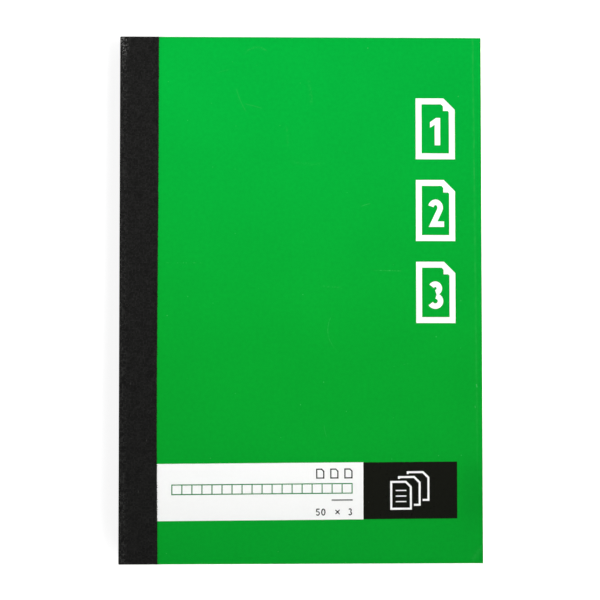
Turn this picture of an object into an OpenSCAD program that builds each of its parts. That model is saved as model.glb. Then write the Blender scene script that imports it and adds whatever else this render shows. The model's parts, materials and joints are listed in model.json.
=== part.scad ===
// Triplicate book: a flush-cut A5 pad of three-leaf sets, wire-stitched and quarter-bound in cloth tape.
// Millimetres. X runs from the spine to the fore-edge, Y from tail to head, Z out of the front cover.
// The origin is under the middle of the book, on the surface that it lies on.
// Covers, tape and leaves are divided along the fold beside the binding, where card, cloth and paper bend.

/* [Book] */
// Width from the spine to the fore-edge
book_w = 144.6; // [120:0.1:180]
// Height from tail to head
book_h = 210; // [150:1:300]

/* [Covers] */
// Thickness of the printed front card
front_card_t = 0.5; // [0.3:0.05:1]
// Thickness of the back board
back_board_t = 1; // [0.8:0.05:2.5]

/* [Spine tape] */
// Thickness of the cloth tape
tape_t = 0.25; // [0.15:0.01:0.4]
// Depth that the tape is pressed into the card and the board
tape_press = 0.05; // [0.02:0.01:0.1]
// Reach of the tape from the spine over the front card
front_tape_w = 15.4; // [13:0.1:30]
// Reach of the tape from the spine over the back board
back_tape_w = 15.4; // [13:0.1:30]
// Thickness of the glue line between the spine and the tape
glue_t = 0.15; // [0.05:0.01:0.3]

/* [Fold] */
// Distance from the spine to the fold that the covers and leaves turn on
fold_from_spine = 11; // [9:0.1:12]
// Gap across the fold
fold_gap = 0.2; // [0.1:0.05:0.4]

/* [Leaves] */
// Thickness of one leaf
leaf_t = 0.06; // [0.04:0.005:0.12]
// Air between two leaves
leaf_gap = 0.01; // [0.005:0.005:0.05]
// Sections that the sets below the first one turn in
section_count = 7; // [1:1:10]
// Sets in each section
section_sets = 7; // [1:1:12]

/* [First set] */
// Distance from the spine to the perforation
perf_from_spine = 18; // [15:0.1:30]
// Gap across the perforation
perf_gap = 0.1; // [0.05:0.05:0.3]
// Thickness of a carbon sheet
carbon_t = 0.04; // [0.02:0.01:0.08]
// Air above and below a carbon sheet
carbon_clear = 0.03; // [0.01:0.01:0.1]
// Distance of a carbon sheet from the trimmed edges and the perforation
carbon_inset = 3; // [1:0.5:10]

/* [Wire stitches] */
// Number of stitches
stitch_count = 3; // [1:1:4]
// Distance between the middles of two stitches
stitch_pitch = 72; // [30:1:80]
// Distance from the spine to the stitches
stitch_from_spine = 5.5; // [3:0.1:8]
// Distance between the two legs of a stitch
stitch_w = 12; // [8:0.5:20]
// Length of a clinched leg end
clinch_len = 4.5; // [2:0.5:5]
// Wire diameter
wire_d = 0.4; // [0.3:0.05:0.5]
// Bend radius at the middle of the wire
wire_bend_r = 0.6; // [0.5:0.05:1]
// Clearance around the wire
wire_clear = 0.05; // [0.02:0.01:0.1]

/* [Hidden] */
$fn = 48;
// How far a cut runs past the face that it opens
past = 1;

// The three copies of a set, from the top leaf down
COPIES = ["originals", "duplicates", "triplicates"];
COPY_COLOURS = ["white", "khaki", "pink"];
TRIPLICATE = len(COPIES) - 1;
DUPLICATE = TRIPLICATE - 1;
ORIGINAL = DUPLICATE - 1;

set_count = 1 + section_count * section_sets;
leaf_pitch = leaf_t + leaf_gap;
first_pitch = leaf_t + carbon_t + 2 * carbon_clear;

// Places along X
x_spine = -book_w / 2;
x_fore = book_w / 2;
x_glue = x_spine + tape_t;
x_stub = x_glue + glue_t;
x_fold = x_spine + fold_from_spine;
x_bound = x_fold - fold_gap / 2;
x_turn = x_fold + fold_gap / 2;
x_perf = x_spine + perf_from_spine;
x_stitch = x_spine + stitch_from_spine;

// Levels along Z, from the back of the book to the front
z_board = tape_t - tape_press;
z_block = z_board + back_board_t;
z_first = z_block + leaf_gap + len(COPIES) * (set_count - 1) * leaf_pitch;
z_card = z_first + (len(COPIES) - 1) * first_pitch + leaf_pitch;
z_front = z_card + front_card_t;
z_top = z_front - tape_press + tape_t;
z_crown = z_top - tape_t - wire_clear - wire_d / 2;
z_clinch = tape_t + wire_clear + wire_d / 2;

// Height of a leaf's lower face: set 1 is the top one and has the carbon sheets between its leaves
function leaf_z(n, copy) = n == 1
    ? z_first + (TRIPLICATE - copy) * first_pitch
    : z_block + leaf_gap + ((set_count - n) * len(COPIES) + TRIPLICATE - copy) * leaf_pitch;

function first_set(section) = 2 + section * section_sets;
function last_set(section) = first_set(section) + section_sets - 1;
function two_digits(n) = n < 10 ? str("0", n) : str(n);
function section_name(kind, section) =
    str(kind, "_", two_digits(first_set(section)), "_", two_digits(last_set(section)));

SECTIONS = [0 : section_count - 1];

// A flat sheet between two places along X, over the height of the book less an inset at head and tail
module sheet(from_x, to_x, low_z, thickness, inset = 0) {
    translate([from_x, -book_h / 2 + inset, low_z])
        cube([to_x - from_x, book_h - 2 * inset, thickness]);
}

// Places its children at every stitch along the spine
module at_stitches() {
    for (i = [0 : stitch_count - 1])
        translate([x_stitch, (i - (stitch_count - 1) / 2) * stitch_pitch, 0])
            children();
}

// A quarter bend of the wire in the YZ plane, about the X axis, from the given angle onwards
module wire_bend(from_angle) {
    rotate([90, 0, 90])
        rotate([0, 0, from_angle])
            rotate_extrude(angle = 90)
                translate([wire_bend_r, 0])
                    circle(d = wire_d);
}

// A straight stretch of wire along Y
module wire_along_y(from_y, to_y, z) {
    translate([0, from_y, z])
        rotate([-90, 0, 0])
            cylinder(d = wire_d, h = to_y - from_y);
}

// One leg of a stitch, from its half of the crown to its clinched end
module stitch_half() {
    leg_y = stitch_w / 2;
    bend_y = leg_y - wire_bend_r;
    union() {
        wire_along_y(0, bend_y, z_crown);
        translate([0, bend_y, z_crown - wire_bend_r])
            wire_bend(0);
        translate([0, leg_y, z_clinch + wire_bend_r])
            cylinder(d = wire_d, h = z_crown - z_clinch - 2 * wire_bend_r);
        translate([0, bend_y, z_clinch + wire_bend_r])
            wire_bend(-90);
        wire_along_y(leg_y - clinch_len, bend_y, z_clinch);
    }
}

// The room that one stitch takes in card, paper and board: crown and clinch grooves, bends and leg holes
module stitch_room() {
    half = wire_d / 2 + wire_clear;
    leg_y = stitch_w / 2;
    bend_y = leg_y - wire_bend_r;
    outline = [
        [leg_y + half, z_top + past],
        [leg_y + half, -past],
        [leg_y - clinch_len - half, -past],
        [leg_y - clinch_len - half, z_clinch + half],
        [bend_y, z_clinch + half],
        [leg_y - half, z_clinch + wire_bend_r],
        [leg_y - half, z_crown - wire_bend_r],
        [bend_y, z_crown - half]
    ];
    far_side = [for (i = [len(outline) - 1 : -1 : 0]) [-outline[i].x, outline[i].y]];
    rotate([90, 0, 90])
        translate([0, 0, -half])
            linear_extrude(2 * half)
                polygon(concat(outline, far_side));
}

module spine_tape() {
    color("#242424")
        difference() {
            union() {
                sheet(x_glue, x_bound, 0, z_top);
                sheet(x_spine, x_glue, tape_t, z_top - 2 * tape_t);
                for (edge_z = [tape_t, z_top - tape_t])
                    translate([x_glue, book_h / 2, edge_z])
                        rotate([90, 0, 0])
                            cylinder(r = tape_t, h = book_h);
            }
            translate([x_glue, -book_h / 2 - past, tape_t])
                cube([fold_from_spine, book_h + 2 * past, z_top - 2 * tape_t]);
        }
}

module spine_glue() {
    color("wheat")
        sheet(x_glue, x_stub, tape_t, z_top - 2 * tape_t);
}

module wire_stitches() {
    color("silver")
        at_stitches()
            union() {
                stitch_half();
                mirror([0, 1, 0])
                    stitch_half();
            }
}

module front_cover_margin() {
    color("#04b035")
        difference() {
            sheet(x_stub, x_bound, z_card, z_top - tape_t - z_card);
            at_stitches()
                stitch_room();
        }
}

module front_cover_panel() {
    color("#04b035")
        difference() {
            sheet(x_turn, x_fore, z_card, front_card_t);
            translate([x_turn - past, -book_h / 2 - past, z_top - tape_t])
                cube([x_spine + front_tape_w - x_turn + past, book_h + 2 * past, tape_t]);
        }
}

module front_tape_edge() {
    color("#242424")
        sheet(x_turn, x_spine + front_tape_w, z_top - tape_t, tape_t);
}

module back_cover_margin() {
    color("tan")
        difference() {
            sheet(x_stub, x_bound, tape_t, z_block - tape_t);
            at_stitches()
                stitch_room();
        }
}

module back_cover_panel() {
    color("tan")
        difference() {
            sheet(x_turn, x_fore, z_board, back_board_t);
            translate([x_turn - past, -book_h / 2 - past, 0])
                cube([x_spine + back_tape_w - x_turn + past, book_h + 2 * past, tape_t]);
        }
}

module back_tape_edge() {
    color("#242424")
        sheet(x_turn, x_spine + back_tape_w, 0, tape_t);
}

// The bound margins of the leaves of a run of sets, pierced by the stitches
module stubs(from_set, to_set) {
    color("ivory")
        difference() {
            for (n = [from_set : to_set], copy = [ORIGINAL : TRIPLICATE])
                sheet(x_stub, x_bound, leaf_z(n, copy), leaf_t);
            at_stitches()
                stitch_room();
        }
}

// The turning part of one kind of leaf in a run of sets
module leaves(from_set, to_set, copy) {
    color(COPY_COLOURS[copy])
        for (n = [from_set : to_set])
            sheet(x_turn, x_fore, leaf_z(n, copy), leaf_t);
}

// The strip of a perforated leaf that stays in the book
module leaf_strip(copy) {
    color(COPY_COLOURS[copy])
        sheet(x_turn, x_perf - perf_gap / 2, leaf_z(1, copy), leaf_t);
}

// The form that tears off a perforated leaf
module leaf_form(copy) {
    color(COPY_COLOURS[copy])
        sheet(x_perf + perf_gap / 2, x_fore, leaf_z(1, copy), leaf_t);
}

// A carbon sheet that lies on one leaf of the first set
module carbon_sheet(on_copy) {
    color("midnightblue")
        sheet(x_perf + carbon_inset, x_fore - carbon_inset, leaf_z(1, on_copy) + leaf_t + carbon_clear,
              carbon_t, carbon_inset);
}

spine_tape();
spine_glue();
wire_stitches();
front_cover_margin();
back_cover_margin();
stubs(1, 1);  // stubs_01
front_cover_panel();
front_tape_edge();
back_cover_panel();
back_tape_edge();
leaf_strip(ORIGINAL);  // original_01_strip
leaf_form(ORIGINAL);  // original_01_form
carbon_sheet(DUPLICATE);  // carbon_upper
leaf_strip(DUPLICATE);  // duplicate_01_strip
leaf_form(DUPLICATE);  // duplicate_01_form
carbon_sheet(TRIPLICATE);  // carbon_lower
leaves(1, 1, TRIPLICATE);  // triplicate_01
for (section = SECTIONS) {
    stubs(first_set(section), last_set(section));
    for (copy = [ORIGINAL : TRIPLICATE])
        leaves(first_set(section), last_set(section), copy);
}
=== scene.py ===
import inspect
import json
import math
import random
from functools import partialmethod, wraps

import bmesh
import bpy
from bpy.props import FloatProperty, FloatVectorProperty, IntProperty, PointerProperty
from mathutils import Matrix, Vector


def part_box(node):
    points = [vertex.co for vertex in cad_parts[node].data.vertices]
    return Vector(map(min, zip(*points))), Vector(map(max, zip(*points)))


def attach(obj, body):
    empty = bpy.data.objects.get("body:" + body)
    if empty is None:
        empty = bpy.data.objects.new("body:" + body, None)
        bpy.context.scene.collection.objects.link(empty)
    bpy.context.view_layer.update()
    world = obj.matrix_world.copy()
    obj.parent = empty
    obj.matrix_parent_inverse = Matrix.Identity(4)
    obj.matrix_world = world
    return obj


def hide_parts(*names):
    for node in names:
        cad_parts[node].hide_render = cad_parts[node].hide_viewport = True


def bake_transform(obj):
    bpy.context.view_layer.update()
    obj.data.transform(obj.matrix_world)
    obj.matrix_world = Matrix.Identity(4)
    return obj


bl_info = {
    "name": "Triplicate Invoice Book",
    "version": (1, 0, 0),
    "blender": (4, 5, 0),
    "location": "3D View > Sidebar > Invoice Book",
    "description": "Dresses a triplicate invoice book: covers, cloth tape, ruled leaves and carbon sheets",
    "category": "Add Mesh",
}

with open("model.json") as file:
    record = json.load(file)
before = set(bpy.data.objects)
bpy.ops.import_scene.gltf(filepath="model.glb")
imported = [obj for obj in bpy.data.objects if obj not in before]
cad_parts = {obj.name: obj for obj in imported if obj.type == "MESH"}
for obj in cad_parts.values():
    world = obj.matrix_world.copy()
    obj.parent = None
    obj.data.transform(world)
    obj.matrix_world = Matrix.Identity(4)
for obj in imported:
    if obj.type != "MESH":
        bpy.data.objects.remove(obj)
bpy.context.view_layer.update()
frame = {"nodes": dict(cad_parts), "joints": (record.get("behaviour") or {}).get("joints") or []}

MM = 0.001
PLACE = "sheet_mm"
TONE = "leaf_tone"
# The copies of one set, from the top, with the slots of their papers.
PAPER_SLOTS = {"original": "white_paper", "duplicate": "yellow_paper", "triplicate": "pink_paper"}
# Narrow rows of this width keep a sheet's faces flat up to its rounded edges.
RIM = 0.3 * MM
# Edges that turn by more than this stay sharp.
SHARP = math.radians(35)

# The book's own places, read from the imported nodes. X runs from the spine to the fore-edge,
# Y from the tail to the head and Z from the back cover to the front one.
X_FOLD = next(joint["pos_m"][0] for joint in frame["joints"] if joint["name"] == "front_cover_hinge")
TAPE_LOW, TAPE_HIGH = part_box("spine_tape")
CARD_LOW, CARD_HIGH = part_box("front_cover_panel")
X_SPINE = TAPE_LOW.x
X_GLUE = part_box("spine_glue")[0].x
X_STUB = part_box("stubs_01")[0].x
X_FORE = CARD_HIGH.x
X_STRIP_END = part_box("original_01_strip")[1].x
X_FORM_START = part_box("original_01_form")[0].x
X_PERF = (X_STRIP_END + X_FORM_START) / 2
Y_TAIL = CARD_LOW.y
Y_HEAD = CARD_HIGH.y
BOOK_WIDE = (X_FORE - X_SPINE) / MM
BOOK_TALL = (Y_HEAD - Y_TAIL) / MM
# A leaf's columns: the bound margin, the roll up to the perforation and the form, with their steps.
LEAF_LEGS = ((X_FOLD, 1), (X_PERF, 12), (X_FORE, 8))
SECTIONS = sorted(name[6:] for name in frame["nodes"] if name.startswith("stubs_") and name != "stubs_01")

# Print on the cover, in millimetres off the spine and the tail. The label starts under the tape's edge, its
# marks end in one line, and label and panel rise a little towards the fore-edge about a point on the label.
LABEL_LEFT = 14.6
LABEL_LINE_END = 92.75
LABEL_RISE = 0.0062
LABEL_PIVOT = 75.0

# The tape's cut edges bow in most at this height, and less towards the head and the tail, in millimetres.
BOW_HEIGHT = 58.0
BOW_TO_HEAD = 80.0
BOW_TO_TAIL = 45.0

# Thread ends along the cut edges: how far from head and tail the row starts, the steps in it, and how far
# inside the edge the threads have their middle.
THREAD_GAP = 0.6 * MM
THREAD_STEPS = 218
THREAD_INSET = 0.10 * MM

# Painted shade and wear on the green, in millimetres off the spine and the tail: the middle of a darker patch
# of painted shade beside the panel, and the slanting line that the block's fore-edge has pressed in.
THUMB_PLACE = (141.0, 28.0, 0.0)
RIDGE_AT_TAIL = BOOK_WIDE - 1.8
RIDGE_SLANT = -0.007

# Scuffs on the green and, last, a painted highlight on the lifted corner, in millimetres off the spine and
# the tail: start, end, bow, width, gaps and strength.
COVER_SCUFFS = (
    ((49.1, 202.5), (59.9, 203.4), 3.0, 0.7, 0.8, 0.11),
    ((46.3, 190.0), (50.7, 179.5), -0.5, 0.4, 0.3, 0.10),
    ((49.5, 183.2), (57.1, 181.2), 0.1, 0.3, 0.3, 0.13),
    ((38.3, 195.2), (43.9, 196.8), 0.3, 0.25, 0.3, 0.08),
    ((17.5, 119.4), (34.0, 119.4), 0.0, 0.22, 1.0, 0.42),
    ((100.5, 116.5), (113.0, 116.2), 0.0, 0.24, 0.9, 0.48),
    ((96.1, 141.9), (100.2, 143.2), 0.15, 0.26, 0.3, 0.26),
    ((85.1, 99.4), (87.1, 83.9), -3.1, 0.38, 0.7, 0.19),
    ((81.4, 55.3), (82.6, 49.7), -0.2, 0.26, 0.2, 0.16),
    ((107.8, 77.9), (116.6, 79.5), 0.0, 0.25, 1.0, 0.16),
    ((79.9, 110.2), (89.9, 109.4), 0.0, 0.6, 0.9, 0.12),
    ((67.1, 160.3), (82.8, 159.1), -0.6, 1.0, 1.0, 0.06),
    ((75.2, 193.7), (76.4, 181.6), 0.4, 1.0, 0.9, 0.06),
    ((66.3, 174.8), (67.1, 164.7), 0.3, 0.7, 0.9, 0.06),
    ((142.2, 71.2), (142.5, 69.6), 0.0, 0.36, 0.0, 0.55),
    ((141.6, 62.6), (141.8, 61.4), 0.0, 0.30, 0.0, 0.40),
    ((141.7, 158.5), (141.8, 152.5), 0.0, 0.40, 0.2, 0.16),
    # Painted highlight: a wide soft pale line across the lifted lower corner, where its bend catches the
    # light.
    ((139.8, 0.7), (144.4, 6.5), 0.0, 1.50, 0.5, 0.09),
)

# Rules of the form, in millimetres off the spine and the tail: level ones with their height, left and right
# ends, and upright ones with their place across, lower and upper ends.
LEVEL_RULES = ((172, 26, 84), (164, 26, 84), (156, 26, 84), (172, 106, 138), (186, 106, 138), (198, 106, 138),
               (148, 26, 138), (140, 26, 138), (36, 26, 138), (24, 116, 138), (22, 26, 84))
UPRIGHT_RULES = ((106, 186, 198), (138, 186, 198), (26, 36, 148), (138, 24, 148), (40, 36, 148),
                 (98, 36, 148), (116, 24, 148))
HALF_RULE = 0.14


def length(name, description, default):
    """A length that a user would change."""
    return FloatProperty(name=name, description=description, default=default, min=0.0, unit="LENGTH",
                         precision=5)


def colour(name, description, default):
    """A linear colour that a user would change."""
    return FloatVectorProperty(name=name, description=description, default=default, min=0.0, max=1.0, size=3,
                               subtype="COLOR")


class BookSizes(bpy.types.PropertyGroup):
    """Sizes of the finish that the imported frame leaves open"""
    crease: length("Cover crease", "Length over which a cover bends beside the bound margin", 0.003)
    spine_round: length("Spine rounding", "Outer radius of the tape at the spine's two edges", 0.0007)
    card_round: length("Card rounding", "Rounding of the front cover's trimmed edges", 0.00005)
    board_round: length("Board rounding", "Rounding of the back cover's trimmed edges", 0.00015)
    corner_lift: length("Corner lift", "How far the front cover's lower corner is bent up", 0.00019)
    thread_pitch: length("Thread pitch", "Distance between neighbouring threads of the cloth", 0.00055)
    tape_bow: length("Tape bow", "How far the tape's cut edges bow in below their middle", 0.00048)
    tape_out: length("Tape reach", "How far the tape's cut edge stands past the packed one", 0.00022)
    leaf_slip: length("Leaf slip", "How far a leaf may lie out of line with its neighbours", 0.000025)
    tie_pitch: length("Tie pitch", "Distance between the paper ties of a perforation", 0.002)
    tie_length: length("Tie length", "Length of one paper tie of a perforation", 0.0006)
    ink_rise: length("Ink rise", "Height of one layer of print above what it lies on", 0.00001)
    label_low: length("Label foot", "Lower edge of the label, from the tail", 0.01740)
    label_high: length("Label top", "Upper edge of the label, from the tail", 0.03994)
    panel_left: length("Panel left", "Left edge of the dark panel, from the spine", 0.09702)
    panel_right: length("Panel right", "Right edge of the dark panel, from the spine", 0.1344)
    title_left: length("Title left", "Left edge of the white title column, from the spine", 0.1183)
    title_wide: length("Title width", "Width of the title's marks", 0.0157)
    title_low: length("Title foot", "Lower end of the title column, from the tail", 0.0954)
    title_run: length("Title run", "Length of the title column", 0.0901)


class BookColours(bpy.types.PropertyGroup):
    """Linear colours of the book's materials"""
    green: colour("Cover green", "Printed ground of the front cover", (0.0016, 0.345, 0.0243))
    green_head: colour("Green at the head", "Printed ground where the ink is bluer", (0.0006, 0.350, 0.0355))
    pale: colour("Worn green", "Scuffed varnish over the green", (0.10, 0.52, 0.16))
    label: colour("Label white", "White of the label and of the title marks", (0.968, 0.974, 0.962))
    black: colour("Print black", "Dark panel and dark marks", (0.0080, 0.0088, 0.0062))
    label_green: colour("Label green", "Green marks on the label", (0.008, 0.21, 0.038))
    label_grey: colour("Label grey", "Small grey mark on the label", (0.20, 0.21, 0.20))
    card: colour("Card", "Unprinted side and core of the front cover", (0.72, 0.71, 0.66))
    cloth: colour("Cloth", "Black cloth of the spine tape", (0.0112, 0.0112, 0.0106))
    cloth_worn: colour("Worn cloth", "Rubbed threads of the cloth", (0.19, 0.19, 0.185))
    board: colour("Grey board", "Stiff board of the back cover", (0.30, 0.275, 0.235))
    original: colour("Original", "White paper of the top copy", (0.88, 0.88, 0.85))
    duplicate: colour("Duplicate", "Yellow paper of the second copy", (0.90, 0.79, 0.36))
    triplicate: colour("Triplicate", "Pink paper of the third copy", (0.88, 0.57, 0.61))
    form_ink: colour("Form ink", "Ink of the ruled forms", (0.03, 0.12, 0.09))
    carbon: colour("Carbon", "Carbon sheet", (0.010, 0.014, 0.040))
    wire: colour("Wire", "Galvanised stitching wire", (0.56, 0.56, 0.55))
    glue: colour("Glue", "Dried spine glue", (0.52, 0.42, 0.24))


class BookStage(bpy.types.PropertyGroup):
    """Camera and studio light"""
    camera_place: FloatVectorProperty(name="Camera place", description="Where the camera stands",
                                      default=(-0.0119, -0.0190, 0.5698), size=3, subtype="TRANSLATION")
    camera_turn: FloatVectorProperty(name="Camera turn", description="How the camera is turned",
                                     default=[math.radians(angle) for angle in (1.911, -1.181, -0.03)],
                                     size=3, subtype="EULER")
    lens: FloatProperty(name="Lens", description="Focal length on a 36 mm sensor, in millimetres",
                        default=84.0)
    key_power: FloatProperty(name="Key", description="Power of the gridded softbox above the fore-edge",
                             default=0.646, unit="POWER")
    key_beam: FloatProperty(name="Key beam", description="Opening of the gridded softbox's beam",
                            default=math.radians(34.84), subtype="ANGLE")
    fill_power: FloatProperty(name="Fill", description="Power of the wide softbox in front of the tail",
                              default=6.3, unit="POWER")
    ceiling: FloatProperty(name="Ceiling", description="Brightness of the dim ceiling over the backdrop",
                           default=0.06)
    seed: IntProperty(name="Seed", description="Seed of everything that is strewn", default=7)


class Flow:
    """Output of a node, on which sums, ramps and patterns are built."""

    def __init__(self, socket):
        self.socket = socket
        self.tree = socket.id_data

    def parts(self, kind, inputs, **settings):
        """All outputs of a new node in the same tree."""
        return [Flow(socket) for socket in add_node(self.tree, kind, inputs, **settings).outputs]

    def node(self, kind, inputs, output=0, **settings):
        """One output of a new node in the same tree."""
        return Flow(add_node(self.tree, kind, inputs, **settings).outputs[output])

    def calc(self, operation, *others):
        """Output of one math node that starts from this value."""
        return self.node("ShaderNodeMath", dict(enumerate((self, *others))), operation=operation)

    def calc_from(self, operation, other):
        """Output of one math node that starts from another value."""
        return self.node("ShaderNodeMath", {0: other, 1: self}, operation=operation)

    __add__ = partialmethod(calc, "ADD")
    __sub__ = partialmethod(calc, "SUBTRACT")
    __mul__ = partialmethod(calc, "MULTIPLY")
    __truediv__ = partialmethod(calc, "DIVIDE")
    __rsub__ = partialmethod(calc_from, "SUBTRACT")
    __rtruediv__ = partialmethod(calc_from, "DIVIDE")
    __abs__ = partialmethod(calc, "ABSOLUTE")
    min = partialmethod(calc, "MINIMUM")
    max = partialmethod(calc, "MAXIMUM")

    def ramp(self, low, high, to_low=0.0, to_high=1.0):
        """Smooth step of a value from low to high."""
        inputs = {"Value": self, "From Min": low, "From Max": high, "To Min": to_low, "To Max": to_high}
        return self.node("ShaderNodeMapRange", inputs, interpolation_type="SMOOTHSTEP")

    def mix(self, under, over):
        """Colour that goes from under to over by this value."""
        return self.node("ShaderNodeMix", {0: self, 6: under, 7: over}, 2, data_type="RGBA")

    def shade(self, tint):
        """Colour with its brightness multiplied by this value."""
        return self.node("ShaderNodeHueSaturation", {"Value": self, "Color": tint})

    def bump(self, distance):
        """Normal from a height of 0 to 1 over a distance in metres."""
        return self.node("ShaderNodeBump", {"Strength": 1.0, "Distance": distance, "Height": self})

    def axes(self):
        """X, Y and Z of a vector."""
        return self.parts("ShaderNodeSeparateXYZ", {0: self})

    def vector(self, operation, other, output=0):
        """Output of one vector math node that starts from this vector."""
        return self.node("ShaderNodeVectorMath", {0: self, 1: other}, output, operation=operation)

    def stretch(self, *factors):
        """Vector multiplied along each axis."""
        return self.vector("MULTIPLY", factors)

    def noise(self, scale, detail=2.0, distortion=0.0, dimensions="2D"):
        """Noise value around one half, on the sheet's plane unless said otherwise."""
        inputs = {"Vector": self, "Scale": scale, "Detail": detail, "Distortion": distortion}
        return self.node("ShaderNodeTexNoise", inputs, noise_dimensions=dimensions)


def feed(socket, value):
    """Links an input to a node's output, or sets its own value."""
    if isinstance(value, Flow):
        value.tree.links.new(value.socket, socket)
    elif socket.type == "RGBA":
        socket.default_value = (*value, 1.0)
    else:
        socket.default_value = value


def add_node(tree, kind, inputs=None, **settings):
    """Adds one node, with its settings and its inputs."""
    node = tree.nodes.new(kind)
    for key, value in settings.items():
        setattr(node, key, value)
    for key, value in (inputs or {}).items():
        feed(node.inputs[key], value)
    return node


def source(tree, kind, output=0, **settings):
    """Output of a node that takes nothing in."""
    return Flow(add_node(tree, kind, **settings).outputs[output])


def combine(*values):
    """Vector from three values, of which at least one comes from a node."""
    lead = next(value for value in values if isinstance(value, Flow))
    return lead.node("ShaderNodeCombineXYZ", dict(enumerate(values)))


# Kinds of the node groups' sockets; the others are plain values.
SOCKETS = {
    "geometry": "NodeSocketGeometry",
    **dict.fromkeys(("place", "start", "span", "first", "tie", "thread"), "NodeSocketVector"),
    **dict.fromkeys(("leaves", "ties", "seed"), "NodeSocketInt"),
    **dict.fromkeys(("paper", "form", "cloth"), "NodeSocketMaterial"),
}


def node_group(kind, build, outputs):
    """Node tree of a function, made once: the arguments are its inputs, and the returned list its outputs."""
    tree = bpy.data.node_groups.get(build.__name__)
    if tree:
        return tree
    tree = bpy.data.node_groups.new(build.__name__, kind)
    for names, side in ((inspect.signature(build).parameters, "INPUT"), (outputs, "OUTPUT")):
        for name in names:
            tree.interface.new_socket(name, in_out=side, socket_type=SOCKETS.get(name, "NodeSocketFloat"))
    given = add_node(tree, "NodeGroupInput").outputs[:-1]
    made = build(*[Flow(socket) for socket in given])
    for socket, value in zip(add_node(tree, "NodeGroupOutput").inputs, made):
        feed(socket, value)
    return tree


def shader_group(*outputs):
    """Turns a function into one that puts its node group in a material and returns the group's outputs."""
    def wrap(build):
        @wraps(build)
        def use(place, **values):
            group = node_group("ShaderNodeTree", build, outputs)
            found = place.parts("ShaderNodeGroup", {"place": place, **values}, node_tree=group)
            return found if len(found) > 1 else found[0]
        return use
    return wrap


@shader_group("mask")
def dust_specks(place, spacing, share, size):
    """Scattered round specks: their spacing and size in millimetres, and the share of cells that has one."""
    density = 1.0 / spacing
    inputs = {"Vector": place, "Scale": density}
    distance, tint = place.parts("ShaderNodeTexVoronoi", inputs, voronoi_dimensions="2D")[:2]
    chance = tint.parts("ShaderNodeSeparateColor", {0: tint})
    reach = size * density * (chance[1] + 0.3)
    return [chance[0].calc("LESS_THAN", share) * distance.ramp(reach, reach * 0.4)]


@shader_group("mask")
def scuff_line(place, start, span, bow, width, gaps):
    """One thin mark along a span, bowed sideways, that fades at its ends and is broken on the way."""
    away = place.vector("SUBTRACT", start)
    square = span.vector("DOT_PRODUCT", span, "Value")
    along = away.vector("DOT_PRODUCT", span, "Value") / square
    span_x, span_y, _ = span.axes()
    left = combine(span_y * -1.0, span_x, 0.0)
    aside = away.vector("DOT_PRODUCT", left, "Value") / square.calc("SQRT")
    aside -= along * (1.0 - along) * 4.0 * bow
    ends = along.ramp(0.0, 0.2) * along.ramp(1.0, 0.8)
    bits = place.noise(1.1).ramp(0.62, 0.46)
    return [abs(aside).ramp(width, 0.0) * ends * (1.0 - bits * gaps)]


@shader_group("mask")
def hair_scratches(place, spacing, width, cover):
    """Long fine curved scratches, broken up into patches."""
    density = 1.0 / spacing
    line = abs(place.noise(density, 0.0, 0.4) - 0.5).ramp(width, 0.0)
    edge = 1.0 - cover
    return [line * place.stretch(1.0, 0.7, 1.0).noise(density * 1.7, 1.0).ramp(edge, edge + 0.08)]


@shader_group("mask")
def edge_rub(place, reach):
    """Wear that starts at a cover's trimmed edges and fades inwards."""
    x, y, _ = place.axes()
    inset = (BOOK_WIDE - x).min(y.min(BOOK_TALL - y))
    ragged = place.noise(0.9, 3.0) - 0.45
    return [(inset + ragged * (reach * 3.0)).ramp(reach, 0.0)]


@shader_group("tone", "height")
def paper_fibre(place, fibre):
    """Cloudy look-through and short fibres of paper or board."""
    density = 1.0 / fibre
    cloud = place.noise(density * 0.22, 3.0)
    lengthwise = place.stretch(0.45, 1.6, 1.0).noise(density, 3.0, 0.8)
    crosswise = place.stretch(1.6, 0.5, 1.0).noise(density, 3.0, 0.8)
    fibres = (lengthwise + crosswise) * 0.5
    return [(cloud + fibres) * 0.5, fibres]


@shader_group("height", "crossing")
def plain_weave(place, pitch):
    """Over-and-under weave of round threads, one thread in each pitch both ways."""
    x, y, _ = place.axes()
    sway = (place.noise(0.5) - 0.5) * 0.5
    warp, weft = [(axis + sway) / pitch for axis in (x, y)]
    across, along = [(thread.calc("FRACT") * math.pi).calc("SINE") for thread in (warp, weft)]
    warp_no, weft_no = [thread.calc("FLOOR") for thread in (warp, weft)]
    warp_over = (warp_no + weft_no).calc("FLOORED_MODULO", 2.0)
    tops = {0: warp_over, 2: along * (across * 0.45 + 0.55), 3: across * (along * 0.45 + 0.55)}
    cell = combine(warp_no, weft_no, 0.0)
    return [warp_over.node("ShaderNodeMix", tops, data_type="FLOAT"),
            cell.node("ShaderNodeTexWhiteNoise", {"Vector": cell}, "Value", noise_dimensions="2D")]


@shader_group("line", "tint", "slits")
def form_rules(place):
    """Ruled lines, columns and boxes of one invoice form, without any words, and its perforation's slits
    drawn dark as painted shade.
    """
    x, y, _ = place.axes()

    def between(value, low, high):
        return value.calc("COMPARE", (low + high) / 2, (high - low) / 2)

    def field(left, right, low, high):
        return between(x, left, right) * between(y, low, high)

    row = ((y - 36.0) / 8.0).calc("FRACT")
    line = row.calc("LESS_THAN", 0.026) * field(26, 138, 36, 140) * 0.7
    for height, left, right in LEVEL_RULES:
        line = line.max(field(left, right, height - HALF_RULE, height + HALF_RULE))
    for across, low, high in UPRIGHT_RULES:
        line = line.max(field(across - HALF_RULE, across + HALF_RULE, low, high))
    tint = field(26, 138, 140, 148).max(field(116, 138, 24, 36))
    perf = (X_PERF - X_SPINE) / MM
    slits = (y * 0.5).calc("FRACT").calc("LESS_THAN", 0.7) * between(x, perf - 0.1, perf + 0.1)
    return [line, tint, slits]


def surface(material, **inputs):
    """Sets or links inputs of a material's shader."""
    shader = material.node_tree.nodes["Principled BSDF"]
    for key, value in inputs.items():
        feed(shader.inputs[key.replace("_", " ").title().replace("Ior", "IOR")], value)
    return material


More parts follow.
